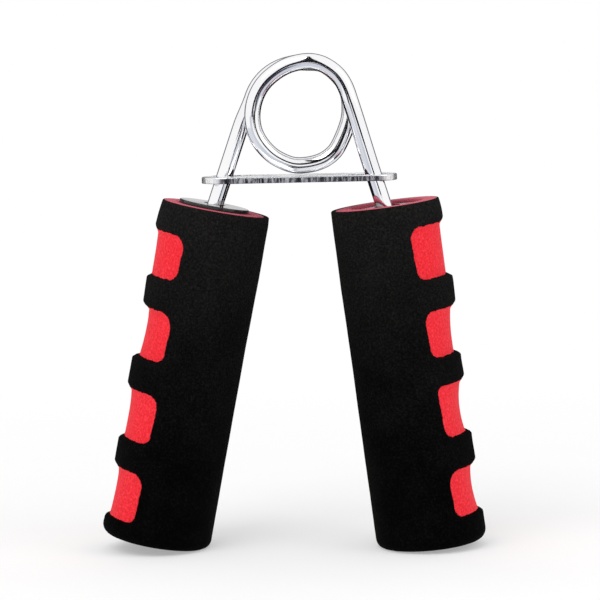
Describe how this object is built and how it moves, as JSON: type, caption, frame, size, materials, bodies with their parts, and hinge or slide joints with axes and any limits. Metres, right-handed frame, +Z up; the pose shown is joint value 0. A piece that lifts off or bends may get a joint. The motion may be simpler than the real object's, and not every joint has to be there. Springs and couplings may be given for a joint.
{
  "type": "hand grip strengthener",
  "caption": "Hand grip strengthener with a coiled steel spring, a slotted spreader plate and splayed foam-covered handles with finger grooves.",
  "frame": {"origin": "middle of the bounding box's base, on the floor, midway between the outer edges of the two handles", "axes": "+X from the left handle to the right one, +Y away from the viewer along the coil's axis, +Z up from the floor; the left handle reaches lower than the right one, so the grip's own middle line leans 1.65 degrees to the right of +Z"},
  "size_m": [0.123, 0.0438, 0.1575],
  "materials": {
    "spring_steel": "bright chrome plate on round wire",
    "plate_steel": "chrome plate on stamped strip",
    "core_plastic": "glossy moulding",
    "inner_foam": "matt closed-cell foam",
    "cover_foam": "matt closed-cell foam"
  },
  "bodies": {
    "spring": {"spring_coil": "spring_steel", "spreader_plate": "plate_steel"},
    "left_arm": {"left_leg": "spring_steel", "left_core": "core_plastic", "left_inner_foam": "inner_foam", "left_foam_cover": "cover_foam"},
    "right_arm": {"right_leg": "spring_steel", "right_core": "core_plastic", "right_inner_foam": "inner_foam", "right_foam_cover": "cover_foam"}
  },
  "joints": [
    {"name": "left_squeeze", "type": "hinge", "parent": "spring", "child": "left_arm", "pos_m": [0.0056, 0, 0.13853], "axis": [0, -1, 0], "range_deg": [0, 11.1], "stiffness_Nm_per_rad": 80},
    {"name": "right_squeeze", "type": "hinge", "parent": "spring", "child": "right_arm", "pos_m": [0.0056, 0, 0.13853], "axis": [0, 1, 0], "range_deg": [0, 11.1], "stiffness_Nm_per_rad": 80}
  ],
  "couplings": [
    {"joint": "right_squeeze", "follows": "left_squeeze", "ratio": 1}
  ]
}
